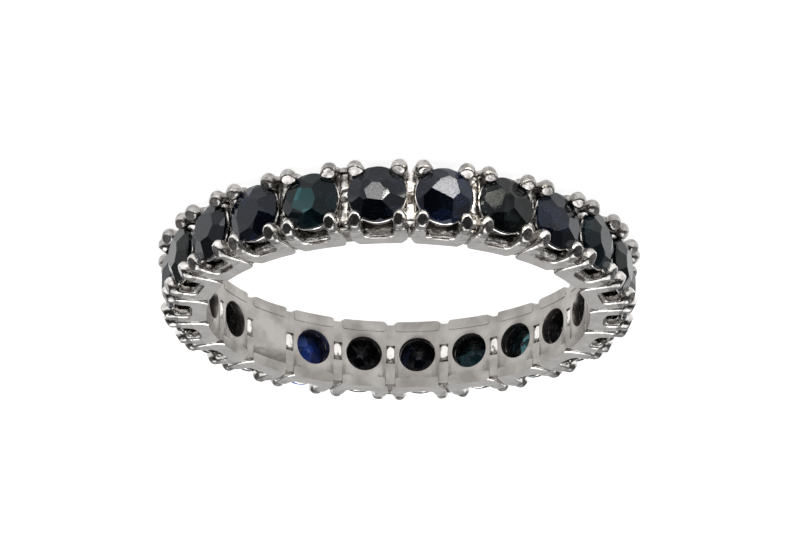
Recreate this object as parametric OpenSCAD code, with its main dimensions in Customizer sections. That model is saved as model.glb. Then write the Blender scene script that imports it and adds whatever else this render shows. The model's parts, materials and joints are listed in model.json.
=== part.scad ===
// Full eternity ring of white metal: a closed row of square four-prong settings, each with a round
// sapphire. The finger hole's axis is Z and its middle is the origin. Setting 1 faces -Y, and the
// numbers grow towards -X. The ring lies on its side, so its lowest faces are the side plates.
// Sizes are in millimetres.

/* [Ring] */
// Diameter of the finger hole
bore_d = 17; // [16.9:0.05:17.6]
// Width along the finger
ring_w = 3.2; // [3.1:0.05:3.3]
// Thickness of the joints between the settings, outwards from the finger hole
joint_t = 0.6; // [0.5:0.05:0.7]
// Width of the joints along the finger
joint_w = 2.6; // [2.3:0.05:2.7]

/* [Setting] */
// Width of a setting round the ring, at its widest
setting_w = 2.57; // [2.5:0.01:2.58]
// Width of a setting at the finger hole
base_w = 2.08; // [1.95:0.01:2.15]
// Height of the chamfer at each side of the base
chamfer_h = 0.25; // [0.15:0.05:0.3]
// Height of the walls between neighbouring stones, above the finger hole
wall_h = 1.25; // [1.15:0.05:1.35]
// Height of the side plates' arms above the finger hole
plate_h = 1.55; // [1.5:0.05:1.6]
// Thickness of a side plate
plate_t = 0.5; // [0.45:0.05:0.55]
// Diameter of the round hole behind each stone
back_d = 1.65; // [1.5:0.05:1.7]
// How much further out the backs and joints lie than the side plates, whose edges bear on the finger
back_inset = 0.05; // [0.03:0.01:0.08]
// Thickness left behind the stone whose setting has a closed back
closed_t = 0.35; // [0.25:0.05:0.4]
// Width of the window between two prongs, at its top
window_w = 1.45; // [1.3:0.05:1.5]
// Width of the window where its round floor starts
window_low_w = 1.15; // [1:0.05:1.25]
// Height of the window's floor above the finger hole
window_h = 0.66; // [0.6:0.02:0.8]
// Width of the gap at the joint where the row was closed
closing_gap = 0.4; // [0.3:0.02:0.44]

/* [Prongs] */
// Diameter of a prong
prong_d = 0.54; // [0.48:0.02:0.56]
// Diameter of the bead at a prong's tip
bead_d = 0.7; // [0.62:0.02:0.72]
// Distance of a bead from the stone's middle, round the ring
bead_t = 0.96; // [0.94:0.01:0.98]
// Distance of a bead from the stone's middle, along the finger
bead_z = 1.2; // [1.15:0.01:1.22]
// Height of a bead's top above the finger hole
tip_h = 2.2; // [2.1:0.05:2.3]

/* [Stones] */
// Diameter of a stone
stone_d = 2.55; // [2.45:0.01:2.57]
// Height of a stone's girdle above the finger hole
girdle_h = 1.6; // [1.55:0.01:1.65]
// Thickness of the girdle
girdle_t = 0.08; // [0.04:0.01:0.1]
// Depth of a stone below its girdle
pavilion_h = 1.1; // [0.95:0.05:1.15]
// Gap between a stone and the metal round it
seat_gap = 0.03; // [0.02:0.01:0.05]

/* [Hidden] */
$fn = 48;

// How each stone is cut and set: its turn in its seat in degrees, the share of its diameter that the
// table takes, the height of its crown, the slant of the table round the ring and along the finger,
// how much higher it sits than girdle_h, how many degrees its setting lies further round than an even
// spacing puts it, and its colour.
TURN = 0;
TABLE = 1;
CROWN = 2;
SLANT_T = 3;
SLANT_Z = 4;
RISE = 5;
SHIFT = 6;
HUE = 7;
SLATE = [0.16, 0.19, 0.24];
NAVY = [0.09, 0.12, 0.22];
TEAL = [0.10, 0.21, 0.24];
INK = [0.07, 0.08, 0.09];
ROYAL = [0.08, 0.14, 0.38];
CUTS = [
    [12, 0.50, 0.40, 0.02, -0.04, 0.15, 0.6, SLATE],
    [30, 0.60, 0.36, -0.05, 0.02, 0.15, 0.6, NAVY],
    [5, 0.46, 0.42, 0.04, 0.03, 0.05, 0.3, INK],
    [22, 0.42, 0.44, -0.03, -0.02, 0.00, 0.0, NAVY],
    [16, 0.48, 0.40, 0.02, 0.04, 0.00, 0.0, TEAL],
    [0, 0.52, 0.38, 0.03, -0.03, 0.00, 0.0, INK],
    [35, 0.45, 0.42, -0.02, 0.02, 0.00, 0.0, NAVY],
    [18, 0.50, 0.40, 0.04, 0.00, 0.00, 0.0, INK],
    [8, 0.47, 0.41, -0.04, 0.02, 0.00, 0.0, SLATE],
    [27, 0.55, 0.37, 0.00, -0.03, 0.00, 0.0, TEAL],
    [3, 0.44, 0.43, 0.03, 0.03, 0.00, 0.0, TEAL],
    [40, 0.50, 0.40, -0.02, -0.02, 0.00, 0.0, NAVY],
    [14, 0.53, 0.38, 0.02, 0.03, 0.00, 0.0, SLATE],
    [25, 0.46, 0.42, -0.03, 0.02, 0.00, 0.0, ROYAL],
    [10, 0.49, 0.40, 0.03, -0.04, 0.00, 0.0, NAVY],
    [33, 0.51, 0.39, 0.00, 0.03, 0.00, 0.0, INK],
    [6, 0.45, 0.42, -0.04, 0.00, 0.00, 0.0, INK],
    [20, 0.54, 0.38, 0.03, 0.02, 0.00, 0.0, SLATE],
    [38, 0.48, 0.40, -0.02, -0.03, 0.00, 0.0, INK],
    [15, 0.56, 0.37, 0.02, 0.03, 0.00, 0.0, SLATE],
    [29, 0.50, 0.40, -0.03, 0.02, 0.05, 0.3, NAVY],
    [4, 0.46, 0.43, 0.04, -0.02, 0.00, 0.0, TEAL]
];
METAL = [0.75, 0.74, 0.72];

// The setting, counted from 1, whose back is closed
CLOSED_BACK = 15;
// The joint where the row was closed lies between this setting and the next
CLOSING_JOINT = 1;

STONES_N = len(CUTS);
PITCH = 360 / STONES_N;
BORE_R = bore_d / 2;
BACK_R = BORE_R + back_inset;
WALL_R = BORE_R + wall_h;
PLATE_R = BORE_R + plate_h;
GIRDLE_R = BORE_R + girdle_h;
STONE_R = stone_d / 2;
// Cutters start this far past the face that they open
OVER = 0.3;

// Height above the finger hole where a setting reaches its full width
TAPER_H = 0.7;
// Height of the window's round floor
ROUND_H = 0.34;
// Half width of a setting at the top of its base chamfer, just clear of its neighbour
SHOULDER_T = (BORE_R + chamfer_h) * tan(PITCH / 2) - 0.05;
// Chamfer at each top corner of a side plate
CORNER = 0.2;
// The foot of a prong, from the setting's middle planes, and its height above the finger hole
FOOT_T = 1.0;
FOOT_Z = 1.31;
FOOT_H = 0.5;
// Width of the pocket in the back of each joint, its length along the finger and its depth
POCKET_W = 0.4;
POCKET_Z = 0.75;
POCKET_T = 0.18;
// A joint reaches this far to each side, into the two settings that it joins
JOINT_REACH = 0.25;

// Facets: eight mains round a stone, with a star between each two
MAINS_N = 8;
MAIN_STEP = 360 / MAINS_N;
GIRDLE_N = 2 * MAINS_N;
// Share of the way from table to girdle, and from girdle to culet, where the side facets meet
STAR_SHARE = 0.45;
LOWER_SHARE = 0.35;

// Angle of setting i round the ring, seen from above, from the -Y direction
function place(i) = -i * PITCH - CUTS[i][SHIFT];
// Angle of the joint between setting i and the one before it, which for the first is the last one
function joint_place(i) =
    (place(i) + (i == 0 ? place(STONES_N - 1) + 360 : place(i - 1))) / 2;

function number(i) = str(i + 1 < 10 ? "0" : "", i + 1);
function stone_name(i) = str("stone_", number(i));

// Puts what is drawn round the origin at an angle round the ring: X runs round the ring, Y along the
// finger and Z outwards from the ring's middle.
module at_angle(angle) {
    rotate([90, 0, angle]) children();
}

// Stones

function table_r(cut) = cut[TABLE] * STONE_R;
function star_r(cut) = table_r(cut) + STAR_SHARE * (STONE_R - table_r(cut));

// Height above the girdle's middle of a point at radius r on a main facet that runs from radius r0
// and height h0 to radius r1 and height h1. The point lies half a step to the side of the main.
function beside_main(r, r0, h0, r1, h1) =
    h0 + (h1 - h0) * (r * cos(MAIN_STEP / 2) - r0) / (r1 - r0);
function star_h(cut) =
    beside_main(star_r(cut), table_r(cut), cut[CROWN], STONE_R, girdle_t / 2);

// A ring of n points at radius r and height h, the first at an angle of start
function ring_of(n, r, h, start = 0) =
    [for (k = [0 : n - 1]) [r * cos(start + k * 360 / n), r * sin(start + k * 360 / n), h]];

// The table slants, and the crown's points move with it in proportion to their height.
function slanted(p, cut) =
    p[2] <= girdle_t / 2 ? p : [p[0], p[1], p[2] + share_up(p, cut) * slant_at(p, cut)];
function share_up(p, cut) = (p[2] - girdle_t / 2) / (cut[CROWN] - girdle_t / 2);
function slant_at(p, cut) = cut[SLANT_T] * p[0] + cut[SLANT_Z] * p[1];

// Where two side facets below the girdle meet
LOWER_R = (1 - LOWER_SHARE) * STONE_R;
LOWER_H = beside_main(LOWER_R, 0, -pavilion_h, STONE_R, -girdle_t / 2);

function stone_points(cut) =
    concat(
        ring_of(MAINS_N, table_r(cut), cut[CROWN]),
        ring_of(MAINS_N, star_r(cut), star_h(cut), MAIN_STEP / 2),
        ring_of(GIRDLE_N, STONE_R, girdle_t / 2),
        ring_of(GIRDLE_N, STONE_R, -girdle_t / 2),
        ring_of(MAINS_N, LOWER_R, LOWER_H, MAIN_STEP / 2),
        [[0, 0, -pavilion_h]]
    );

// Numbers of the points above, where k may run past the end of its ring
function table_at(k) = k % MAINS_N;
function star_at(k) = MAINS_N + (k + MAINS_N) % MAINS_N;
function upper_at(k) = 2 * MAINS_N + k % GIRDLE_N;
function under_at(k) = 2 * MAINS_N + GIRDLE_N + k % GIRDLE_N;
function lower_at(k) = 2 * MAINS_N + 2 * GIRDLE_N + (k + MAINS_N) % MAINS_N;
CULET = 3 * MAINS_N + 2 * GIRDLE_N;

function crown_faces() = concat(
    [[for (k = [MAINS_N - 1 : -1 : 0]) table_at(k)]],
    [for (k = [0 : MAINS_N - 1]) each [
        [table_at(k), table_at(k + 1), star_at(k)],
        [table_at(k), star_at(k), upper_at(2 * k)],
        [table_at(k), upper_at(2 * k), star_at(k - 1)],
        [star_at(k), upper_at(2 * k + 1), upper_at(2 * k)],
        [star_at(k), upper_at(2 * k + 2), upper_at(2 * k + 1)]
    ]]
);
function girdle_faces() = [for (k = [0 : GIRDLE_N - 1]) each [
    [upper_at(k), upper_at(k + 1), under_at(k + 1)],
    [upper_at(k), under_at(k + 1), under_at(k)]
]];
function pavilion_faces() = [for (k = [0 : MAINS_N - 1]) each [
    [lower_at(k), under_at(2 * k), under_at(2 * k + 1)],
    [lower_at(k), under_at(2 * k + 1), under_at(2 * k + 2)],
    [CULET, lower_at(k - 1), under_at(2 * k)],
    [CULET, under_at(2 * k), lower_at(k)]
]];

module stone(i) {
    cut = CUTS[i];
    color(cut[HUE])
        at_angle(place(i))
            translate([0, 0, GIRDLE_R + cut[RISE]])
                rotate([0, 0, cut[TURN]])
                    polyhedron(
                        [for (p = stone_points(cut)) slanted(p, cut)],
                        concat(crown_faces(), girdle_faces(), pavilion_faces())
                    );
}

// Band

// Outline of a setting across the ring: its base is narrower than its shoulders, so that the
// settings can follow the curve.
module setting_outline() {
    foot_t = base_w / 2;
    slope = (SHOULDER_T - foot_t) / chamfer_h;
    polygon([
        [-foot_t + slope * OVER, BORE_R - OVER],
        [foot_t - slope * OVER, BORE_R - OVER],
        [SHOULDER_T, BORE_R + chamfer_h],
        [setting_w / 2, BORE_R + TAPER_H],
        [setting_w / 2, PLATE_R - CORNER],
        [setting_w / 2 - CORNER, PLATE_R],
        [CORNER - setting_w / 2, PLATE_R],
        [-setting_w / 2, PLATE_R - CORNER],
        [-setting_w / 2, BORE_R + TAPER_H],
        [-SHOULDER_T, BORE_R + chamfer_h]
    ]);
}

// A prong leans in from its foot in the setting's corner to its bead, which grips the stone's edge.
// The signs t and z choose the corner.
module prong(t, z) {
    foot = [t * FOOT_T, z * FOOT_Z, BORE_R + FOOT_H];
    bead = [t * bead_t, z * bead_z, BORE_R + tip_h - bead_d / 2];
    lean = bead - foot;
    translate(foot)
        rotate([0, acos(lean[2] / norm(lean)), atan2(lean[1], lean[0])])
            cylinder(h = norm(lean), d = prong_d);
    translate(bead)
        sphere(d = bead_d);
}

// Room for a stone: its outline turned round its axis, with a gap, and the open space above the girdle
module seat(cut) {
    // the slant lifts one side of the crown by this much
    lift = table_r(cut) * norm([cut[SLANT_T], cut[SLANT_Z]]);
    crown = cut[CROWN] + lift + seat_gap;
    translate([0, 0, GIRDLE_R + cut[RISE]])
        rotate_extrude()
            polygon([
                [0, -pavilion_h - 2 * seat_gap],
                [LOWER_R + seat_gap, LOWER_H - seat_gap],
                [STONE_R + seat_gap, -girdle_t / 2 - seat_gap],
                [STONE_R + seat_gap, girdle_t / 2 + seat_gap],
                [star_r(cut) + seat_gap, star_h(cut) + lift + seat_gap],
                [table_r(cut) + seat_gap, crown],
                [0, crown]
            ]);
}

// The window between the prongs in both side plates, with a round floor
module window() {
    floor_r = BORE_R + window_h;
    rotate([90, 0, 0])
        linear_extrude(ring_w + 2 * OVER, center = true)
            polygon(concat(
                [[window_w / 2, PLATE_R + OVER], [-window_w / 2, PLATE_R + OVER]],
                [for (a = [180 : 22.5 : 360])
                    [window_low_w / 2 * cos(a), floor_r + ROUND_H + ROUND_H * sin(a)]]
            ));
}

// The room between the side plates, above the walls
module saddle() {
    inner_z = ring_w / 2 - plate_t;
    translate([-setting_w, -inner_z, WALL_R])
        cube([2 * setting_w, 2 * inner_z, plate_h]);
}

module setting(i) {
    difference() {
        union() {
            difference() {
                rotate([90, 0, 0])
                    linear_extrude(ring_w, center = true)
                        setting_outline();
                saddle();
            }
            for (t = [-1, 1], z = [-1, 1]) prong(t, z);
        }
        seat(CUTS[i]);
        window();
        translate([0, 0, i + 1 == CLOSED_BACK ? BACK_R + closed_t : BORE_R - OVER])
            cylinder(h = wall_h + OVER + 0.1, d = back_d);
    }
}

// The piece that joins a setting to the one before it, with a shallow pocket in its back
module joint() {
    difference() {
        translate([-JOINT_REACH, -joint_w / 2, BORE_R - OVER])
            cube([2 * JOINT_REACH, joint_w, joint_t + OVER]);
        translate([-POCKET_W / 2, -POCKET_Z / 2, BORE_R - 2 * OVER])
            cube([POCKET_W, POCKET_Z, BACK_R - BORE_R + 2 * OVER + POCKET_T]);
    }
}

// The wider gap where the row was closed: above the joint, and past each of its ends
module closing_cut() {
    translate([-closing_gap / 2, -ring_w, BORE_R + joint_t])
        cube([closing_gap, 2 * ring_w, plate_h]);
    for (z = [-1, 1])
        translate([-closing_gap / 2, z * (joint_w + ring_w) / 2 - ring_w / 2, BORE_R - OVER])
            cube([closing_gap, ring_w, plate_h]);
}

module band() {
    color(METAL)
        difference() {
            union() {
                for (i = [0 : STONES_N - 1]) {
                    at_angle(place(i)) setting(i);
                    at_angle(joint_place(i)) joint();
                }
            }
            cylinder(h = 2 * ring_w, r = BORE_R, center = true);
            cylinder(h = ring_w - 2 * plate_t, r = BACK_R, center = true);
            at_angle(joint_place(CLOSING_JOINT)) closing_cut();
        }
}

band();
for (i = [0 : STONES_N - 1])
    stone(i);
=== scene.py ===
"""A full eternity ring of white metal with a row of round sapphires, lying on its side.

A setting is modelled once on a bench where one unit is a millimetre: X runs round the ring, Y along the
finger and Z outwards from the ring's middle. Each copy is then worked over by itself and turned to its
place in the ring. The stones are cut on the same bench, facet by facet.
"""

import json
import random
from math import atan2, cos, degrees, pi, radians, sin

import bmesh
import bpy
from mathutils import Matrix, Vector


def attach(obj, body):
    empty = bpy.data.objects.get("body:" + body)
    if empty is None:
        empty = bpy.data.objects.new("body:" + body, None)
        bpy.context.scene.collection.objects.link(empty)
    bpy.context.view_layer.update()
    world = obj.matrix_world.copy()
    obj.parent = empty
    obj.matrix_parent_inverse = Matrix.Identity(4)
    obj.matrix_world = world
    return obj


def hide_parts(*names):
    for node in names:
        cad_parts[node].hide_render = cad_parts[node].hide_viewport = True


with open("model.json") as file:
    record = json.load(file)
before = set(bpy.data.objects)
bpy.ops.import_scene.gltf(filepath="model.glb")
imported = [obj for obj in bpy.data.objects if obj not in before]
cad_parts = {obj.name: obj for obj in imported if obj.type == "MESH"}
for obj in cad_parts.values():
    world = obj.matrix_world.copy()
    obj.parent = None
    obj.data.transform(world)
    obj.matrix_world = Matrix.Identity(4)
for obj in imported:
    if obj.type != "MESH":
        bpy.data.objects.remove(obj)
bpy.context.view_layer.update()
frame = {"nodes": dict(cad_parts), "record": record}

MM = 0.001
COUNT = sum(name.startswith("stone_") for name in frame["nodes"])
PITCH = 360 / COUNT
BORE_R = frame["record"]["mounts"][0]["dims"]["r_mm"]
RING_W = 3.2

# A setting's outline across the ring
FULL_T = 1.285
SHOULDER_T = 1.208
SHOULDER_H = 0.25
FULL_H = 0.66
BACK_H = 0.5
# What is left on its inside to be bored away, and the outline there
SPARE = 0.22
SPARE_T = 0.893
# Its side plates, and the arms that stand on them
PLATE_T = 0.48
PLATE_Y = RING_W / 2 - PLATE_T / 2
ARM_T = 0.6
# The flat middle of a window's floor, and how much the floor rises at the arms and where it starts to
FLAT_T = 0.4
FLOOR_RISES = ((ARM_T, 0.13), (FLAT_T, 0.03))
# What counts as the inside of a window when the metal is coloured
WINDOW_T = 0.66
WINDOW_TOP = 0.95
# Each step up an arm: its height, and where it starts and ends round the ring and along the finger
ARM_STEPS = (
    (0.95, (0.62, 1.28), (1.12, 1.585)),
    (1.35, (0.68, 1.26), (1.12, 1.56)),
    (1.62, (0.78, 1.14), (1.06, 1.42)),
)
# The middle of the claw at the end of each arm at +Y, and where it is filed flat outside and at the edge
# of the ring
CLAW = (0.965, 1.12, 1.56)
CLAW_FLAT = (1.27, 1.89)
CLAW_EDGE = (1.535, 1.5)
# The middle of the bead at the tip of each lower prong, and where it is filed flat
BEAD = (0.965, 1.18, 1.84)
BEAD_FLAT = (-0.95, 2.0)
# How finely pieces that are melted together keep their shape
MELT_GRAIN = 0.05
# The round hole behind each stone, and how much further out the backs lie than the side plates
BACK_R = 0.825
BACK_INSET = 0.02
# The seat under the stone, and how much it widens upwards
SEAT_R = 0.98
SEAT_H = 1.04
SEAT_FLARE = 1.2
# The bright edges of the seat: each one's name, radius, thickness, height and roundness
RIMS = (("rim", 1.245, 0.05, 1.44, 48), ("ledge", 1.02, 0.04, 0.84, 40))
# Where the rough floor of a window lies along the finger
SILL_Y = 1.33
# The stones
STONE_R = 1.275
GIRDLE_R = BORE_R + 1.6
GIRDLE_T = 0.08
CULET_H = 1.15
# Where the step below the girdle ends
BULGE_R = 1.04
BULGE_H = 0.62

# Settings that sit higher and a little further round than an even spacing puts them, in millimetres
# and degrees
RISE = {1: 0.15, 2: 0.15, 3: 0.05, 21: 0.05}
SHIFT = {1: 0.6, 2: 0.6, 3: 0.3, 21: 0.3}
# Settings whose windows are partly filled, and how high
WINDOW_FILLS = {3: 0.22, 4: 0.36, 5: 0.2, 6: 0.1, 19: 0.15, 20: 0.25, 21: 0.25, 22: 0.08}
# The setting without a hole in its back, the one with a lump of metal beside a claw, and the joint
# where the ring was closed
CLOSED_BACK = 15
LUMPED = 1
CLOSING_JOINT = 2
# Where the runs between stones are notched: from where to where along the finger, and how deep. The two
# joints at the front have notches of their own; the others get two of this width and depth.
NOTCHES = {1: ((-0.52, -0.36, 0.1), (0.0, 0.2, 0.14)), CLOSING_JOINT: ((-0.1, 0.36, 0.14),)}
NOTCH_W = 0.18
NOTCH_D = 0.12


def place(number):
    """Angle of a setting round the ring, in degrees."""
    return -(number - 1) * PITCH - SHIFT.get(number, 0)


def joint_place(number):
    """Angle of the joint between a setting and the one before it."""
    before = place(number - 1) if number > 1 else place(COUNT) + 360
    return (place(number) + before) / 2


# Work on the bench


def alone(piece):
    bpy.ops.object.select_all(action="DESELECT")
    piece.select_set(True)
    bpy.context.view_layer.objects.active = piece


def open_mesh(piece):
    alone(piece)
    bpy.ops.object.mode_set(mode="EDIT")
    bpy.ops.mesh.select_mode(type="FACE")
    bpy.ops.mesh.select_all(action="DESELECT")


def close_mesh():
    bpy.ops.object.mode_set(mode="OBJECT")


def pick_faces(test):
    """Selects the faces whose middle and normal pass the test."""
    bpy.ops.mesh.select_mode(type="FACE")
    bpy.ops.mesh.select_all(action="DESELECT")
    mesh = bmesh.from_edit_mesh(bpy.context.object.data)
    mesh.normal_update()
    for face in mesh.faces:
        if test(face.calc_center_median(), face.normal):
            face.select_set(True)
    bmesh.update_edit_mesh(bpy.context.object.data)


def pick_points(test):
    """Selects the points whose place passes the test."""
    bpy.ops.mesh.select_mode(type="VERT")
    bpy.ops.mesh.select_all(action="DESELECT")
    mesh = bmesh.from_edit_mesh(bpy.context.object.data)
    for point in mesh.verts:
        if test(point.co):
            point.select_set(True)
    mesh.select_flush_mode()
    bmesh.update_edit_mesh(bpy.context.object.data)


def move(by):
    bpy.ops.transform.translate(value=by)


def size(by, about):
    bpy.ops.transform.resize(value=by, center_override=about)


def picked_points():
    """The places of the points selected in the open mesh."""
    return [v.co.copy() for v in bmesh.from_edit_mesh(bpy.context.object.data).verts if v.select]


def middle_of_picked():
    points = picked_points()
    return sum(points, Vector()) / len(points)


def spread_picked(axis, low, high):
    """Moves and stretches the picked points along one axis until they run from low to high."""
    spots = [point[axis] for point in picked_points()]
    start, end = min(spots), max(spots)
    by = [1, 1, 1]
    by[axis] = (high - low) / (end - start)
    size(by, middle_of_picked())
    shift = [0, 0, 0]
    shift[axis] = (low + high - start - end) / 2
    move(shift)


def pull(by):
    """Extrudes the picked faces."""
    bpy.ops.mesh.extrude_region_move(TRANSFORM_OT_translate={"value": by})


def cut(at, normal, away=False):
    """Cuts the whole mesh along a plane, and takes away and closes what lies beyond it if asked."""
    bpy.ops.mesh.select_all(action="SELECT")
    bpy.ops.mesh.bisect(plane_co=at, plane_no=normal, use_fill=away, clear_outer=away)


def cut_across(axis, places):
    """Cuts the whole mesh square to an axis, at each of some places along it."""
    normal = [0, 0, 0]
    normal[axis] = 1
    for spot in places:
        cut([spot * along for along in normal], normal)


def near(value, target):
    """Whether a measure is within a hundredth of a millimetre of another."""
    return abs(value - target) < 0.01


def filed(piece, at, tilt, aside):
    """Files a flat on a piece. It goes through a place, and is tilted from facing outwards towards +Y
    and aside towards +X."""
    open_mesh(piece)
    cut(at, (sin(radians(aside)), sin(radians(tilt)), cos(radians(tilt))), away=True)
    close_mesh()


def block(name, middle, sizes):
    bpy.ops.mesh.primitive_cube_add(size=1, location=middle, scale=sizes)
    return settled(name)


def rod(name, middle, radius, length, sides, turn=(0, 0, 0)):
    bpy.ops.mesh.primitive_cylinder_add(
        vertices=sides, radius=radius, depth=length, location=middle, rotation=turn
    )
    return settled(name)


def ball(name, middle, sizes, segments, rings):
    bpy.ops.mesh.primitive_uv_sphere_add(
        segments=segments, ring_count=rings, radius=1, location=middle, scale=sizes
    )
    return settled(name)


def fixed(piece):
    """Puts a piece's place, turn and size into its mesh."""
    alone(piece)
    bpy.ops.object.transform_apply(location=True, rotation=True, scale=True)


def settled(name):
    """Names the new piece and fixes it where it is."""
    piece = bpy.context.object
    piece.name = piece.data.name = name
    fixed(piece)
    return piece


def lifted(piece, height):
    piece.location.z = height
    fixed(piece)


def stretched(piece, by):
    piece.scale = by
    fixed(piece)


def faced_out(piece):
    """Turns all faces of a piece outwards."""
    open_mesh(piece)
    bpy.ops.mesh.select_all(action="SELECT")
    bpy.ops.mesh.normals_make_consistent(inside=False)
    close_mesh()


def mirrored(piece, by):
    """Mirrors a piece across the ring's middle where a factor is -1."""
    stretched(piece, by)
    faced_out(piece)


def copy_of(piece, name):
    twin = piece.copy()
    twin.data = piece.data.copy()
    twin.name = twin.data.name = name
    bpy.context.scene.collection.objects.link(twin)
    return twin


def joined(pieces, name):
    bpy.ops.object.select_all(action="DESELECT")
    for piece in pieces:
        piece.select_set(True)
    bpy.context.view_layer.objects.active = pieces[0]
    bpy.ops.object.join()
    whole = bpy.context.object
    whole.name = whole.data.name = name
    return whole


def apply(piece, kind, **values):
    """Adds a modifier with the values given and applies it."""
    alone(piece)
    modifier = piece.modifiers.new(kind.title(), kind)
    for key, value in values.items():
        setattr(modifier, key, value)
    bpy.ops.object.modifier_apply(modifier=modifier.name)


def rounded(piece):
    """Smooths a piece over by dividing its faces."""
    apply(piece, "SUBSURF", levels=1, render_levels=1)


def chamfered(piece, width, segments, angle=25):
    """Takes the sharpness off the edges that are sharper than an angle."""
    limit = radians(angle)
    apply(piece, "BEVEL", width=width, segments=segments, limit_method="ANGLE", angle_limit=limit)


def taken_out(piece, tool):
    """Takes a tool's shape out of a piece, and clears the tool away."""
    apply(piece, "BOOLEAN", operation="DIFFERENCE", object=tool, solver="EXACT")
    bpy.data.objects.remove(tool, do_unlink=True)


def drilled(piece, radius):
    """Opens the round hole behind the stone."""
    taken_out(piece, rod("drill", (0, 0, BORE_R), radius, 4, 40))


def bored(piece, radius):
    """Bores a piece out to the round inside of the ring."""
    taken_out(piece, rod("core", (0, 0, 0), radius, 4, 240, (pi / 2, 0, 0)))


def shaken(piece, by, seed):
    """Moves every point a little, as a wax cleaned up by hand."""
    open_mesh(piece)
    bpy.ops.mesh.select_all(action="SELECT")
    bpy.ops.transform.vertex_random(offset=by, seed=seed)
    close_mesh()


def melted(pieces, name, rounds):
    """Melts pieces that run into one another into one surface, as they come out of a mould."""
    whole = joined(pieces, name)
    apply(whole, "REMESH", mode="VOXEL", voxel_size=MELT_GRAIN)
    open_mesh(whole)
    bpy.ops.mesh.select_all(action="SELECT")
    bpy.ops.mesh.vertices_smooth(factor=0.5, repeat=rounds)
    close_mesh()
    return whole


def paint_picked(slot):
    """Gives the picked faces one of the piece's materials."""
    bpy.context.object.active_material_index = slot
    bpy.ops.object.material_slot_assign()


def all_over(middle, normal):
    return True


def painted(piece, coats):
    """Gives a piece its materials in turn, each where its test of a face's middle and normal passes."""
    for material, _ in coats:
        piece.data.materials.append(material)
    open_mesh(piece)
    for slot, (_, test) in enumerate(coats):
        pick_faces(test)
        paint_picked(slot)
    close_mesh()


def smooth(piece):
    alone(piece)
    bpy.ops.object.shade_smooth_by_angle(angle=radians(35))


def set_in_ring(piece, angle):
    """Turns a finished piece from the bench to its place in the ring, at its real size."""
    piece.rotation_euler = (pi / 2, 0, radians(angle))
    piece.scale = (MM, MM, MM)
    fixed(piece)


# Materials


def nodes_of(owner):
    """The emptied shader nodes of a material or of the world."""
    owner.use_nodes = True
    tree = owner.node_tree
    tree.nodes.clear()
    return tree, tree.nodes


def added(nodes, kind, values=()):
    """Adds a shader node and sets the sockets that are named, in pairs of a name and its value."""
    node = nodes.new(kind)
    for socket, value in values:
        node.inputs[socket].default_value = value
    return node


def ranged(nodes, start, end, low=0.0, high=1.0, soft=False):
    """A node that turns a value between start and end into one between low and high."""
    node = added(nodes, "ShaderNodeMapRange", (
        ("From Min", start), ("From Max", end), ("To Min", low), ("To Max", high),
    ))
    if soft:
        node.interpolation_type = "SMOOTHSTEP"
    return node


def wired(tree, wires):
    """Joins an output of one node to a socket of the next, wire by wire."""
    for start, output, end, socket in wires:
        tree.links.new(start.outputs[output], end.inputs[socket])


def cast_grain():
    """The fine unevenness of cast metal: a height for bumps and a mask of its duller patches."""
    tree = bpy.data.node_groups.new("cast_grain", "ShaderNodeTree")
    tree.interface.new_socket("Coordinate", in_out="INPUT", socket_type="NodeSocketVector")
    for name, default in (("Grain Scale", 9000), ("Patch Scale", 1500)):
        socket = tree.interface.new_socket(name, in_out="INPUT", socket_type="NodeSocketFloat")
        socket.default_value = default
    tree.interface.new_socket("Height", in_out="OUTPUT", socket_type="NodeSocketFloat")
    tree.interface.new_socket("Patches", in_out="OUTPUT", socket_type="NodeSocketFloat")
    inside = tree.nodes.new("NodeGroupInput")
    outside = tree.nodes.new("NodeGroupOutput")
    grain = added(tree.nodes, "ShaderNodeTexNoise", (("Detail", 4),))
    patch = added(tree.nodes, "ShaderNodeTexNoise", (("Detail", 3),))
    wired(tree, (
        (inside, "Coordinate", grain, "Vector"),
        (inside, "Coordinate", patch, "Vector"),
        (inside, "Grain Scale", grain, "Scale"),
        (inside, "Patch Scale", patch, "Scale"),
        (grain, "Fac", outside, "Height"),
        (patch, "Fac", outside, "Patches"),
    ))
    return tree


GRAIN = cast_grain()


def white_metal(name, light, dull, roughness, bump, scales):
    """Polished or cast white metal, lighter and glossier in some patches than in others. Roughness is
    given for the light and the dull patches, and the scales are those of the grain and the patches."""
    material = bpy.data.materials.new(name)
    tree, nodes = nodes_of(material)
    out = added(nodes, "ShaderNodeOutputMaterial")
    shader = added(nodes, "ShaderNodeBsdfPrincipled", (("Metallic", 1),))
    place_on = added(nodes, "ShaderNodeTexCoord")
    grain = nodes.new("ShaderNodeGroup")
    grain.node_tree = GRAIN
    grain.inputs["Grain Scale"].default_value, grain.inputs["Patch Scale"].default_value = scales
    colour = added(nodes, "ShaderNodeValToRGB")
    for end, position, tone in zip(colour.color_ramp.elements, (0.35, 0.62), (dull, light)):
        end.position = position
        end.color = (*tone, 1)
    rough = ranged(nodes, 0.3, 0.7, roughness[1], roughness[0])
    relief = added(nodes, "ShaderNodeBump", (("Strength", bump), ("Distance", 0.00003)))
    wired(tree, (
        (place_on, "Object", grain, "Coordinate"),
        (grain, "Patches", colour, "Fac"),
        (grain, "Patches", rough, "Value"),
        (grain, "Height", relief, "Height"),
        (colour, "Color", shader, "Base Color"),
        (rough, "Result", shader, "Roughness"),
        (relief, "Normal", shader, "Normal"),
        (shader, "BSDF", out, "Surface"),
    ))
    return material


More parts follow.
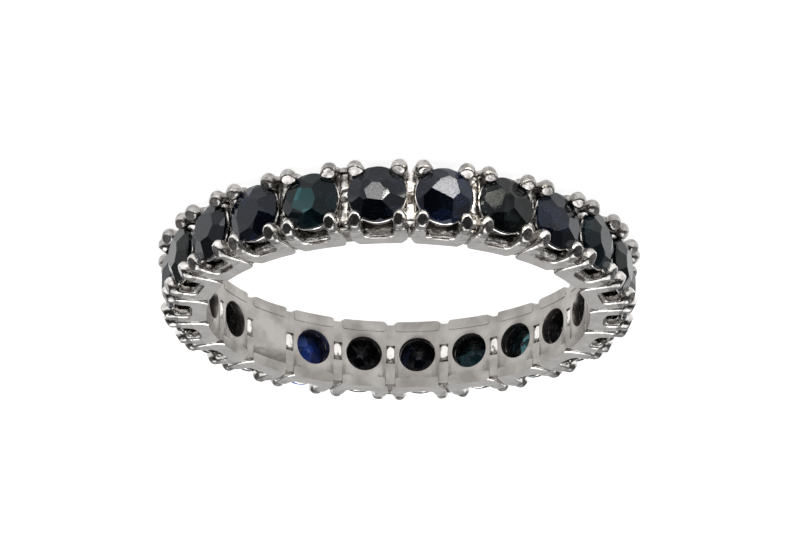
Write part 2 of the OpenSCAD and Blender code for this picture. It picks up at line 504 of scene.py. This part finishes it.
POLISHED = white_metal(
    "polished_metal", (0.86, 0.835, 0.81), (0.72, 0.695, 0.67), (0.07, 0.2), 0.25, (5000, 1300)
)
FILED = white_metal(
    "filed_metal", (0.88, 0.86, 0.84), (0.45, 0.42, 0.40), (0.12, 0.35), 0.8, (5000, 3000)
)
# Rough cast metal for the windows, the seat, the walls, the lips and the lower metal between the arms,
# painted darker there as shade
CAST_PAINTED_SHADE = white_metal(
    "cast_painted_shade_metal", (0.46, 0.44, 0.42), (0.10, 0.09, 0.08), (0.15, 0.45), 1.0, (9000, 3500)
)
# Darker metal on the flats of the lower claws, painted as shade
CLAW_PAINTED_SHADE = white_metal(
    "claw_painted_shade_metal", (0.5, 0.485, 0.47), (0.17, 0.16, 0.155), (0.1, 0.3), 0.8, (5000, 4000)
)
# Duller metal for the upper prongs and the upper metal between the arms, painted darker as shade
DULL_PAINTED_SHADE = white_metal(
    "dull_painted_shade_metal", (0.5, 0.485, 0.47), (0.24, 0.225, 0.215), (0.12, 0.35), 0.8, (5000, 3500)
)
# Slightly darker metal for the arms and all above them, painted shade that tones down their highlights
ARM_PAINTED_SHADE = white_metal(
    "arm_painted_shade_metal", (0.8, 0.78, 0.76), (0.5, 0.48, 0.46), (0.12, 0.32), 0.7, (5000, 3500)
)
MOTTLED = white_metal(
    "mottled_metal", (0.72, 0.7, 0.68), (0.13, 0.12, 0.11), (0.12, 0.4), 1.0, (7000, 4500)
)
# Dark metal painted as shade on the edges in the windows and in the notches of the runs between stones
PAINTED_SHADE = white_metal(
    "painted_shade_metal", (0.24, 0.21, 0.19), (0.06, 0.05, 0.045), (0.35, 0.6), 1.0, (9000, 5000)
)
# Worn metal for the ring's inside, painted darker as shade
WORN_PAINTED_SHADE = white_metal(
    "worn_painted_shade_metal", (0.43, 0.41, 0.39), (0.31, 0.29, 0.27), (0.24, 0.4), 0.4, (4000, 900)
)

# Each stone's colour, the colour of the painted flashes of light in it, how clear it is and the tint of
# its gloss
GEM_COLOURS = {
    "sapphire_slate": ((0.008, 0.011, 0.019), (0.016, 0.022, 0.038), 0.8, (0.34, 0.365, 0.42)),
    "sapphire_navy": ((0.006, 0.009, 0.020), (0.012, 0.022, 0.065), 0.8, (0.35, 0.375, 0.45)),
    "sapphire_teal": ((0.009, 0.024, 0.031), (0.016, 0.040, 0.050), 0.7, (0.20, 0.225, 0.24)),
    "sapphire_ink": ((0.008, 0.011, 0.012), (0.014, 0.020, 0.022), 0.8, (0.17, 0.18, 0.19)),
    "sapphire_royal": ((0.030, 0.080, 0.420), (0.080, 0.160, 0.600), 0.25, (0.36, 0.385, 0.45)),
}
# The same for the facets on which the light behind a teal stone is painted as a flash
LIT_COLOURS = ((0.060, 0.190, 0.210), (0.260, 0.660, 0.720), 0.4, (0.14, 0.15, 0.17))
# From which shade a painted reflection of a facet behind has the stone's colour and the lighter painted
# flash, in a stone and where the light behind is painted on
SHADES = (0.4, 0.78)
LIT_SHADES = (0.2, 0.5)
GEMS = {}


def sapphire(slot, lit=False):
    """The material of a stone, or of the facets of it on which the light behind them is painted as a
    flash.
    """
    name = slot + "_lit" if lit else slot
    if name in GEMS:
        return GEMS[name]
    material = bpy.data.materials.new(name)
    tree, nodes = nodes_of(material)
    out = added(nodes, "ShaderNodeOutputMaterial")
    body, flash, clear, gloss = LIT_COLOURS if lit else GEM_COLOURS[slot]
    shader = added(nodes, "ShaderNodeBsdfPrincipled", (
        ("IOR", 1.7), ("Specular Tint", (*gloss, 1)), ("Transmission Weight", clear),
    ))
    place_on = added(nodes, "ShaderNodeTexCoord")
    # Painted reflections of the facets behind, as patches with straight edges: darker, in the stone's
    # colour or a lighter painted flash
    behind = added(nodes, "ShaderNodeTexVoronoi", (("Scale", 1100),))
    shade = added(nodes, "ShaderNodeSeparateColor")
    colour = added(nodes, "ShaderNodeValToRGB")
    colour.color_ramp.interpolation = "CONSTANT"
    body_from, flash_from = LIT_SHADES if lit else SHADES
    darkest, lightest = colour.color_ramp.elements
    darkest.color = (*[c * 0.5 for c in body], 1)
    lightest.color = (*flash, 1)
    lightest.position = flash_from
    colour.color_ramp.elements.new(body_from).color = (*body, 1)
    # The polish is a little worn, in clouds and in fine scratches that all run one way
    cloud = added(nodes, "ShaderNodeTexNoise", (("Scale", 900), ("Detail", 2)))
    wear = ranged(nodes, 0.4, 0.8, 0.006, 0.035)
    turned = added(nodes, "ShaderNodeMapping", (
        ("Rotation", (0, radians(35), 0)), ("Scale", (900, 9000, 30000)),
    ))
    lines = added(nodes, "ShaderNodeTexNoise", (("Scale", 1), ("Detail", 1)))
    scratches = added(nodes, "ShaderNodeBump", (("Strength", 0.06), ("Distance", 0.000004)))
    wired(tree, (
        (place_on, "Object", turned, "Vector"),
        (turned, "Vector", lines, "Vector"),
        (lines, "Fac", scratches, "Height"),
        (scratches, "Normal", shader, "Normal"),
        (place_on, "Object", cloud, "Vector"),
        (place_on, "Object", behind, "Vector"),
        (behind, "Color", shade, "Color"),
        (shade, "Red", colour, "Fac"),
        (cloud, "Fac", wear, "Value"),
        (colour, "Color", shader, "Base Color"),
        (wear, "Result", shader, "Roughness"),
        (shader, "BSDF", out, "Surface"),
    ))
    GEMS[name] = material
    return material


# The parts of a setting


def shouldered():
    """Draws in the ends of the open piece below its shoulder, most at its inside."""
    cut_across(2, (BORE_R + SHOULDER_H,))
    pick_points(lambda p: p.z < BORE_R + 0.01 and abs(p.x) > ARM_T + 0.1)
    size((SPARE_T / FULL_T, 1, 1), (0, 0, BORE_R))
    pick_points(lambda p: near(p.z, BORE_R + SHOULDER_H) and abs(p.x) > ARM_T + 0.1)
    size((SHOULDER_T / FULL_T, 1, 1), (0, 0, BORE_R))


def side_plate():
    """The plate at +Y: a bar with chamfered lower corners, and an arm at each end of it."""
    plate = block(
        "side_plate", (0, PLATE_Y, BORE_R + (FULL_H - SPARE) / 2), (2 * FULL_T, PLATE_T, FULL_H + SPARE)
    )
    open_mesh(plate)
    cut_across(0, (-ARM_T, -FLAT_T, FLAT_T, ARM_T))
    shouldered()
    for side in (-1, 1):
        height = FULL_H
        for top, across, along in ARM_STEPS:
            pick_faces(lambda m, n: n.z > 0.7 and m.x * side > ARM_T)
            pull((0, 0, top - height))
            spread_picked(0, *sorted((side * across[0], side * across[1])))
            spread_picked(1, *along)
            height = top
    for t, rise in FLOOR_RISES:
        pick_points(lambda p: near(abs(p.x), t) and near(p.z, BORE_R + FULL_H))
        move((0, 0, rise))
    close_mesh()
    return plate


def side_plates():
    plate = side_plate()
    other = copy_of(plate, "other_plate")
    stretched(other, (1, -1, 1))
    both = joined([plate, other], "plates")
    faced_out(both)
    return both


def bead(sizes, tongue_at, tongue_size):
    """The tip of the prong at +X: a drop of metal, the tongue of it that is pressed over the stone's
    edge, and the neck under it."""
    t, y, h = BEAD
    drop = ball("bead", (t, -y, BORE_R + h), sizes, 20, 12)
    spot = (t + tongue_at[0], tongue_at[1] - y, BORE_R + h + tongue_at[2])
    tongue = ball("tongue", spot, tongue_size, 14, 10)
    neck = ball("neck", (t + 0.06, -y - 0.1, BORE_R + h - 0.4), (0.27, 0.26, 0.4), 14, 10)
    return melted([drop, tongue, neck], "bead", 2)


def claw():
    """The tip of the prong at +X and +Y, a drop pressed over the stone and filed off afterwards."""
    t, y, h = CLAW
    return ball("claw", (t, y, BORE_R + h), (0.34, 0.45, 0.5), 18, 14)


def cup():
    """The round seat under the stone, which shows in the windows and past the prongs."""
    seat = rod("cup", (0, 0, BORE_R + 0.87), SEAT_R, SEAT_H, 40)
    open_mesh(seat)
    cut_across(2, [BORE_R + height for height in (0.55, 0.72, 0.95, 1.1, 1.25)])
    pick_points(lambda p: p.z > BORE_R + 0.9)
    size((SEAT_FLARE, SEAT_FLARE, 1), (0, 0, 0))
    pick_faces(lambda m, n: n.z > 0.9)
    bpy.ops.mesh.inset(thickness=0.04, depth=0.0)
    pull((0, 0, -0.5))
    size((0.72, 0.72, 1), (0, 0, 0))
    close_mesh()
    drilled(seat, BACK_R - 0.01)
    return seat


def rim():
    """The bright edges of the seat: one all round the stone, and one low down in the windows."""
    rings = []
    for name, radius, thickness, height, segments in RIMS:
        bpy.ops.mesh.primitive_torus_add(
            major_segments=segments, minor_segments=8, major_radius=radius, minor_radius=thickness,
            location=(0, 0, BORE_R + height),
        )
        rings.append(settled(name))
    return joined(rings, "rim")


def back(open_back):
    """The floor of the setting, with the round hole behind the stone."""
    depth = BACK_H + SPARE
    floor = block("back", (0, 0, BORE_R + BACK_H - depth / 2), (2 * FULL_T, RING_W - PLATE_T, depth))
    open_mesh(floor)
    shouldered()
    close_mesh()
    bored(floor, BORE_R + BACK_INSET)
    if open_back:
        drilled(floor, BACK_R)
    chamfered(floor, 0.02, 2, 40)
    return floor


def wall(side):
    """The cast wall that closes a setting towards its neighbour."""
    plate = block("wall", (side * 1.19, 0, BORE_R + 0.85), (0.17, 2.4, 0.95))
    open_mesh(plate)
    bpy.ops.mesh.select_all(action="SELECT")
    bpy.ops.mesh.subdivide(number_cuts=3)
    close_mesh()
    return plate


def joint_bar():
    """The bar between two settings, with a shallow pocket in its back that is half full of solder."""
    bar = block("joint", (0, 0, BORE_R + 0.33), (0.62, 2.66, 0.62))
    open_mesh(bar)
    cut_across(1, (-0.4, 0.4))
    cut_across(0, (-0.2, 0.2))
    pick_faces(lambda m, n: n.z < -0.9 and abs(m.x) < 0.1 and abs(m.y) < 0.3)
    pull((0, 0, 0.16))
    size((0.85, 0.92, 1), middle_of_picked())
    close_mesh()
    bored(bar, BORE_R + BACK_INSET)
    chamfered(bar, 0.02, 1)
    return bar


def solder():
    """The run of metal that fills the gap between two stones, rough from casting."""
    run = block("solder", (0, 0, BORE_R + 1.07), (0.38, 2.4, 0.74))
    open_mesh(run)
    cut_across(1, [k * 0.16 for k in range(-6, 7)])
    cut_across(0, (0,))
    cut_across(2, (BORE_R + 1.2,))
    close_mesh()
    return run


def notch(run, low, high, depth):
    """Sinks the top of a run between two places along the finger, and leaves it rough there, in the
    run's second colour, which is painted shade.
    """
    open_mesh(run)
    pick_faces(lambda m, n: low < m.y < high and n.z > 0.4)
    pull((0, 0, -depth))
    paint_picked(1)
    close_mesh()


def gussets():
    """The metal between neighbouring arms, one piece at each side of the row."""
    upper = block("gusset", (0, -1.4, BORE_R + 0.97), (0.5, 0.28, 0.76))
    lower = block("gusset", (0, 1.34, BORE_R + 0.85), (0.44, 0.24, 0.84))
    pair = joined([upper, lower], "gussets")
    open_mesh(pair)
    cut_across(2, [BORE_R + height for height in (0.8, 1.05, 1.2)])
    cut_across(0, (-0.1, 0.1))
    close_mesh()
    return pair


def sill():
    """The rough floor of a window, between the arms at +Y."""
    strip = block("sill", (0, SILL_Y, BORE_R + 0.65), (1.12, 0.34, 0.08))
    open_mesh(strip)
    cut_across(0, [k * 0.14 for k in range(-3, 4)])
    cut_across(1, (SILL_Y,))
    close_mesh()
    return strip


def lip():
    """The thin rough edge along a window's floor."""
    edge = rod("lip", (0, 1.46, BORE_R + 0.7), 0.022, 1.0, 8, (0, pi / 2, 0))
    open_mesh(edge)
    cut_across(0, [k * 0.17 for k in range(-2, 3)])
    close_mesh()
    return edge


# The patterns that every setting and joint is copied from

plates = side_plates()
walls = joined([wall(-1), wall(1)], "walls")
seat = cup()
edge = rim()
backs = {True: back(True), False: back(False)}
beads = [
    bead((0.38, 0.38, 0.36), (-0.2, 0.12, 0.0), (0.24, 0.22, 0.26)),
    bead((0.39, 0.36, 0.36), (-0.14, 0.16, 0.04), (0.25, 0.22, 0.24)),
    bead((0.37, 0.38, 0.35), (-0.22, 0.08, 0.04), (0.22, 0.24, 0.24)),
]
tip_claw = claw()
strip = sill()
line = lip()
bar = joint_bar()
fill = ball("fill", (0, 0, BORE_R + 0.15), (0.25, 0.5, 0.14), 12, 12)
web = solder()
between = gussets()


def in_window(m):
    return abs(m.x) < WINDOW_T and m.z < BORE_R + WINDOW_TOP


# The colours of a setting's cast body, each laid over the ones before: polished all over, rough and
# painted darker as shade in the windows, darker painted shade on the window edges, worn and painted
# darker as shade on the finger's side, and duller and painted darker as shade on the arms, the upper
# prongs and the claws
BODY_COATS = (
    (POLISHED, all_over),
    (CAST_PAINTED_SHADE, lambda m, n: in_window(m) and m.z > BORE_R + 0.5 and n.z > 0.3),
    (PAINTED_SHADE, lambda m, n: in_window(m) and n.z > 0.25 and abs(n.y) > 0.3),
    (WORN_PAINTED_SHADE, lambda m, n: m.z < BORE_R + 0.09 and n.z < -0.5),
    (ARM_PAINTED_SHADE, lambda m, n: m.z > BORE_R + 0.68),
    (DULL_PAINTED_SHADE, lambda m, n: m.y < 0 and m.z > BORE_R + 1.3),
    (CLAW_PAINTED_SHADE, lambda m, n: m.y > 0.8 and m.z > BORE_R + 1.22 and n.y > 0.25),
)


def prong_tips(number):
    """The tips of a setting's four prongs, each filed a little differently."""
    rng = random.Random(number)
    tips = []
    for t in (-1, 1):
        point = copy_of(tip_claw, "point")
        tip = copy_of(rng.choice(beads), "tip")
        for piece, seed in ((point, number + 3 * t), (tip, number + 7 * t)):
            mirrored(piece, (t, 1, 1))
            shaken(piece, 0.018, seed)
        # The lower claws are filed flat outside and along the edge of the ring, the upper ones less
        y, h = CLAW_FLAT
        at = (t * CLAW[0], y + rng.uniform(-0.03, 0.03), BORE_R + h + rng.uniform(-0.03, 0.02))
        filed(point, at, rng.uniform(24, 33), t * rng.uniform(-14, 10))
        y, h = CLAW_EDGE
        at = (t * CLAW[0], y + rng.uniform(-0.015, 0.015), BORE_R + h)
        filed(point, at, rng.uniform(86, 90), t * rng.uniform(-4, 4))
        y, h = BEAD_FLAT
        at = (t * BEAD[0], y + rng.uniform(-0.04, 0.04), BORE_R + h + rng.uniform(-0.02, 0.03))
        filed(tip, at, rng.uniform(42, 52), t * rng.uniform(-20, 5))
        tips += [point, tip]
    return tips


def cast_body(number):
    """The side plates, arms and prongs of a setting, in one casting."""
    body = copy_of(plates, "body")
    shaken(body, 0.02, number)
    chamfered(body, 0.09, 2)
    rounded(body)
    cast = [body] + prong_tips(number)
    if number == LUMPED:
        cast.append(ball("lump", (1.33, 1.19, BORE_R + 1.3), (0.17, 0.17, 0.16), 12, 8))
    body = melted(cast, "body", 1)
    bored(body, BORE_R)
    painted(body, BODY_COATS)
    return body


def window_floors(number):
    """The rough floors of a setting's two windows, and the thin edges along them."""
    sills = []
    lips = []
    for y in (-1, 1):
        for pattern, pieces, by in ((strip, sills, 0.035), (line, lips, 0.015)):
            piece = copy_of(pattern, pattern.name)
            mirrored(piece, (1, y, 1))
            shaken(piece, by, number + 100 + y)
            pieces.append(piece)
    for piece in sills:
        if number in WINDOW_FILLS:
            open_mesh(piece)
            pick_points(lambda p: p.z > BORE_R + 0.65)
            move((0, 0, WINDOW_FILLS[number]))
            close_mesh()
        rounded(piece)
        piece.data.materials.append(MOTTLED)
    for piece in lips:
        # The edges along the window floors are painted darker, as shade
        piece.data.materials.append(CAST_PAINTED_SHADE)
    return sills + lips


def whole_setting(number):
    """A setting without its stone, each of its parts copied and worked over by itself."""
    body = cast_body(number)
    sides = copy_of(walls, "sides")
    shaken(sides, 0.035, number + 40)
    chamfered(sides, 0.03, 1)
    rounded(sides)
    # The walls between the stones are painted darker, as shade
    sides.data.materials.append(CAST_PAINTED_SHADE)
    ring = copy_of(seat, "ring")
    shaken(ring, 0.03, number + 60)
    # The seat under the stone is painted darker, as shade
    ring.data.materials.append(CAST_PAINTED_SHADE)
    bright_edge = copy_of(edge, "bright_edge")
    shaken(bright_edge, 0.015, number + 80)
    bright_edge.data.materials.append(POLISHED)
    for piece in (ring, bright_edge):
        lifted(piece, RISE.get(number, 0))
    floor = copy_of(backs[number != CLOSED_BACK], "floor")
    # The floor on the ring's inside is worn and painted darker, as shade
    floor.data.materials.append(WORN_PAINTED_SHADE)
    parts = [body, sides, ring, bright_edge, floor] + window_floors(number)
    return joined(parts, f"setting_{number:02d}")


def whole_joint(number):
    """What joins a setting to the one before it: the bar, its solder, the rough run between the stones
    and the metal between the arms."""
    rng = random.Random(200 + number)
    closing = number == CLOSING_JOINT
    link = copy_of(bar, "link")
    # The bar on the ring's inside is worn and painted darker, as shade
    link.data.materials.append(WORN_PAINTED_SHADE)
    blob = copy_of(fill, "blob")
    shaken(blob, 0.03, number)
    blob.data.materials.append(POLISHED)
    run = copy_of(web, "run")
    if closing:
        stretched(run, (1.3, 1, 1))
    else:
        stretched(link, (1, 1.08, 1))
    shaken(run, 0.07, number)
    run.data.materials.append(FILED if closing else MOTTLED)
    # The notches in the run get dark metal, painted shade
    run.data.materials.append(PAINTED_SHADE)
    first = rng.uniform(-0.9, -0.1)
    second = rng.uniform(0.1, 0.8)
    plain = ((first, first + NOTCH_W, NOTCH_D), (second, second + NOTCH_W, NOTCH_D))
    for low, high, depth in NOTCHES.get(number, plain):
        notch(run, low, high, depth)
    rounded(run)
    parts = [link, blob, run]
    if not closing:
        pair = copy_of(between, "pair")
        shaken(pair, 0.05, number)
        rounded(pair)
        # The metal between the arms is painted darker as shade: duller at -Y and rough at +Y
        painted(pair, ((DULL_PAINTED_SHADE, all_over), (CAST_PAINTED_SHADE, lambda m, n: m.y > 0)))
        parts.append(pair)
    return joined(parts, f"joint_{number:02d}")


for number in range(1, COUNT + 1):
    setting = whole_setting(number)
    smooth(setting)
    set_in_ring(setting, place(number))
    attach(setting, "root")
    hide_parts("band")

for number in range(1, COUNT + 1):
    piece = whole_joint(number)
    smooth(piece)
    set_in_ring(piece, joint_place(number))
    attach(piece, "root")
    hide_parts("band")

for pattern in [
    plates, walls, seat, edge, strip, line, *backs.values(), *beads, tip_claw, bar, fill, web, between,
]:
    bpy.data.objects.remove(pattern, do_unlink=True)

# The stones


def facet(azimuth, slope, at_radius, at_height):
    """Grinds one facet: it faces an azimuth, slopes down outwards and passes a point above it."""
    a, s = radians(azimuth), radians(slope)
    cut(
        (at_radius * cos(a), at_radius * sin(a), at_height),
        (sin(s) * cos(a), sin(s) * sin(a), cos(s)),
        away=True,
    )


# How the stones that show best are cut: the table's share of the width, its offset and slant along X
# and Y, how many main facets the crown has, its height, its turn, and how uneven the cutter was. Sides
# are main facets that are all different, each given by its azimuth and its distance from the middle at
# the table's height. Stars are facets between the sides and the table, given by their slope too.
PLAIN_CUT = {
    "table": 0.48,
    "off": (0, 0),
    "slant": (0, 0),
    "mains": 8,
    "crown": 0.4,
    "loose": 1,
    "sides": (),
    "stars": (),
}
CUTS = {
    1: {
        "sides": (
            (79, 0.43), (112, 0.55), (150, 0.45), (-175, 0.45), (-133, 0.52), (-95, 0.37), (-62, 0.58),
            (-20, 0.62), (5, 0.65), (38, 0.62),
        ),
        "stars": ((165, 0.337, 12), (17, 0.49, 14), (-44, 0.4, 13), (-142, 0.33, 14)),
        "crown": 0.44,
        "loose": 0.5,
    },
    2: {
        "sides": (
            (65, 0.14), (28, 0.74), (-15, 0.66), (-40, 0.59), (-68, 0.66), (-117, 0.73), (-164, 0.57),
            (137, 0.41),
        ),
        "crown": 0.45,
        "loose": 1.5,
    },
    3: {
        "table": 0.36, "off": (0.15, -0.1), "slant": (6, 3), "mains": 7, "crown": 0.45, "turn": 20,
        "loose": 1.5, "stars": ((0, 0.25, 18.4),),
    },
    4: {
        "table": 0.4, "off": (0.2, 0), "slant": (4, 2), "mains": 7, "crown": 0.42, "turn": 22,
        "loose": 1.5,
    },
    5: {"table": 0.5, "slant": (-6, 0), "turn": 16},
    20: {"table": 0.5, "off": (-0.1, -0.1), "slant": (-2, -3), "turn": 15},
    21: {"table": 0.5, "slant": (3, 4), "mains": 7, "turn": 29, "loose": 1.5},
    22: {"table": 0.45, "off": (0.1, 0.1), "slant": (7, -2), "mains": 7, "turn": 4, "loose": 1.8},
}


def towards(azimuth, offset):
    """How far an offset along X and Y reaches towards an azimuth."""
    return offset[0] * cos(radians(azimuth)) + offset[1] * sin(radians(azimuth))


def cut_stone(number):
    """A round stone, ground facet by facet out of a short rod."""
    cuts = {**PLAIN_CUT, "turn": number * 17 % 45, **CUTS.get(number, {})}
    rng = random.Random(100 + number)
    loose = cuts["loose"]

    def off(error):
        return rng.uniform(-error, error) * loose

    turn = cuts["turn"]
    mains = 0 if cuts["sides"] else cuts["mains"]
    step = 360 / cuts["mains"]
    edge_h = GIRDLE_T / 2
    table_r = cuts["table"] * STONE_R
    crown = cuts["crown"]
    main_slope = degrees(atan2(crown - edge_h, STONE_R - table_r))
    stone = rod(f"cut_stone_{number:02d}", (0, 0, -0.3), STONE_R, 1.6, 48)
    open_mesh(stone)
    # Below the girdle: a steep step, and flatter facets that meet in the point
    base_slope = 180 - degrees(atan2(CULET_H - BULGE_H, BULGE_R))
    step_slope = 180 - degrees(atan2(BULGE_H - edge_h, STONE_R - BULGE_R))
    for k in range(8):
        facet(45 * k + off(2), base_slope + off(1.5), BULGE_R, -BULGE_H)
    for k in range(12):
        facet(30 * k + 11.25 + off(1.5), step_slope + off(2), STONE_R, -edge_h)
    # The crown: main facets, the facets along the girdle, the table and the facets round it
    for azimuth, reach in cuts["sides"]:
        facet(azimuth, degrees(atan2(crown - edge_h, STONE_R - reach)), STONE_R, edge_h)
    for k in range(mains):
        azimuth = turn + step * k + off(4)
        lean = 7 * towards(azimuth, cuts["off"]) / 0.3
        facet(azimuth, main_slope + lean + off(1.6), STONE_R, edge_h)
    for k in range(2 * cuts["mains"]):
        azimuth = turn + step * (k / 2 + 0.25) + off(3)
        facet(azimuth, main_slope + 11 + off(2), STONE_R - 0.01, edge_h)
    for azimuth, reach, slope in cuts["stars"]:
        facet(azimuth, slope, reach, crown)
    slant = Vector(cuts["slant"])
    facet(degrees(atan2(slant.y, slant.x)), slant.length, 0, crown)
    for k in range(mains):
        azimuth = turn + step * (k + 0.5) + off(4)
        reach = table_r + towards(azimuth, cuts["off"])
        tilt = towards(azimuth, slant)
        facet(azimuth, main_slope * 0.5 + tilt * 0.5 + off(2), reach, crown - reach * sin(radians(tilt)))
    close_mesh()
    lifted(stone, GIRDLE_R + RISE.get(number, 0))
    return stone


HUES = {part["node"]: part["material_slot"] for part in frame["record"]["subparts"]}
# The facets of two stones on which the light behind them is painted as a flash: a table, and half of a
# base
LIT_FACETS = {
    22: lambda m, n: n.z > 0.97,
    10: lambda m, n: n.z < -0.2 and n.x + 0.7 * n.y > 0.05,
}
for number in range(1, COUNT + 1):
    node = f"stone_{number:02d}"
    stone = cut_stone(number)
    coats = [(sapphire(HUES[node]), all_over)]
    if number in LIT_FACETS:
        coats.append((sapphire(HUES[node], True), LIT_FACETS[number]))
    painted(stone, coats)
    bpy.ops.object.shade_flat()
    set_in_ring(stone, place(number))
    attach(stone, "root")
    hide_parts(node)

# The table that the ring lies on, and the light of a white tent with its front side open

# How far the paper lies below the ring, in metres
PAPER_GAP = 0.000004


def paper():
    """The white paper under the ring."""
    bpy.ops.mesh.primitive_plane_add(size=3, location=(0, 0, -RING_W / 2 * MM - PAPER_GAP))
    sheet = bpy.context.object
    sheet.name = "table_top"
    material = bpy.data.materials.new("white_paper")
    tree, nodes = nodes_of(material)
    out = added(nodes, "ShaderNodeOutputMaterial")
    shader = added(nodes, "ShaderNodeBsdfPrincipled", (
        ("Base Color", (0.3, 0.3, 0.3, 1)),
        ("Emission Color", (1, 1, 1, 1)),
        ("Emission Strength", 0.9),
        ("Roughness", 0.7),
        ("Specular IOR Level", 0.2),
    ))
    wired(tree, ((shader, "BSDF", out, "Surface"),))
    sheet.data.materials.append(material)


def tent():
    """The tent: a bright roof, sides that darken outwards, and a dark front above the horizon."""
    world = bpy.data.worlds.new("tent")
    bpy.context.scene.world = world
    tree, nodes = nodes_of(world)
    out = added(nodes, "ShaderNodeOutputWorld")
    glow = added(nodes, "ShaderNodeBackground")
    way = added(nodes, "ShaderNodeTexCoord")
    parts = added(nodes, "ShaderNodeSeparateXYZ")
    roof = ranged(nodes, 0.70, 0.86, soft=True)
    front = ranged(nodes, -0.1, -0.55, soft=True)
    aside = added(nodes, "ShaderNodeMath")
    aside.operation = "ABSOLUTE"
    flanks = ranged(nodes, 0.4, 0.8, 0.6, 0.25, soft=True)
    horizon = ranged(nodes, 0.1, 0.2, 1.0, 0.03, soft=True)
    cloth = added(nodes, "ShaderNodeMix")
    whole = added(nodes, "ShaderNodeMix", (("B", 3.0),))
    wired(tree, (
        (way, "Generated", parts, "Vector"),
        (parts, "Z", roof, "Value"),
        (parts, "Y", front, "Value"),
        (front, "Result", cloth, "Factor"),
        (parts, "X", aside, 0),
        (aside, "Value", flanks, "Value"),
        (flanks, "Result", cloth, "A"),
        (parts, "Z", horizon, "Value"),
        (horizon, "Result", cloth, "B"),
        (cloth, "Result", whole, "A"),
        (roof, "Result", whole, "Factor"),
        (whole, "Result", glow, "Strength"),
        (glow, "Background", out, "Surface"),
    ))


# Pools of light on the paper in front of the ring, which the facets that face the front mirror: each
# one's place, its energy, its width in degrees and how soft its edge is. All come from one place.
POOLS = (
    ((0, -0.0147), 9.2, 1.5, 0.0002),
    ((-0.005, -0.0138), 26, 2.1, 0.0003),
    ((-0.0028, -0.0162), 36, 0.9, 0.0002),
    ((-0.0064, -0.0127), 10, 1.1, 0.0002),
    ((-0.008, -0.011), 6, 1.2, 0.0002),
    ((0.0064, -0.0127), 1.3, 1.0, 0.0002),
    ((0.008, -0.011), 5, 1.2, 0.0002),
)
LAMPS_AT = (-0.006, -0.08, 0.035)
LAMP_COLOUR = (1, 0.93, 0.79)


def lamps():
    for k, (aim, energy, width, soft) in enumerate(POOLS):
        bpy.ops.object.light_add(type="SPOT", location=LAMPS_AT)
        lit = bpy.context.object
        lit.name = f"lamp_{k + 1}"
        way = Vector((*aim, -RING_W / 2 * MM)) - lit.location
        lit.rotation_euler = way.to_track_quat("-Z", "Y").to_euler()
        lit.data.energy = energy
        lit.data.color = LAMP_COLOUR
        lit.data.spot_size = radians(width)
        lit.data.spot_blend = 0.4
        lit.data.shadow_soft_size = soft


paper()
tent()
lamps()
scene = bpy.context.scene
scene.view_settings.view_transform = "Standard"

# Camera. It looks at the ring from above the floor and is turned over, as in the photograph.
FOCAL = 7475.3
IMAGE_W = 800
DISTANCE = 38.9987 * BORE_R * MM
RAISED = 0.3884
ROLL = pi + 0.0076
AIM_ACROSS = -0.0002
AIM_ALONG = -0.0023
AZIMUTH = -0.1033

spot = Vector((0, -DISTANCE * cos(RAISED), DISTANCE * sin(RAISED)))
ahead = -spot.normalized()
right = Vector((1, 0, 0))
up = right.cross(ahead)
turned_right = cos(ROLL) * right + sin(ROLL) * up
turned_up = -sin(ROLL) * right + cos(ROLL) * up
aimed_right = cos(AIM_ACROSS) * turned_right + sin(AIM_ACROSS) * ahead
aimed_ahead = -sin(AIM_ACROSS) * turned_right + cos(AIM_ACROSS) * ahead
aimed_up = cos(AIM_ALONG) * turned_up + sin(AIM_ALONG) * aimed_ahead
final_ahead = -sin(AIM_ALONG) * turned_up + cos(AIM_ALONG) * aimed_ahead
lens = bpy.data.cameras.new("camera")
camera = bpy.data.objects.new("camera", lens)
scene.collection.objects.link(camera)
camera.matrix_world = Matrix.Rotation(AZIMUTH, 4, "Z") @ Matrix(
    [
        (aimed_right.x, aimed_up.x, -final_ahead.x, spot.x),
        (aimed_right.y, aimed_up.y, -final_ahead.y, spot.y),
        (aimed_right.z, aimed_up.z, -final_ahead.z, spot.z),
        (0, 0, 0, 1),
    ]
)
lens.sensor_width = 36
lens.lens = FOCAL * lens.sensor_width / IMAGE_W
lens.clip_start = 0.01
lens.clip_end = 10
scene.camera = camera
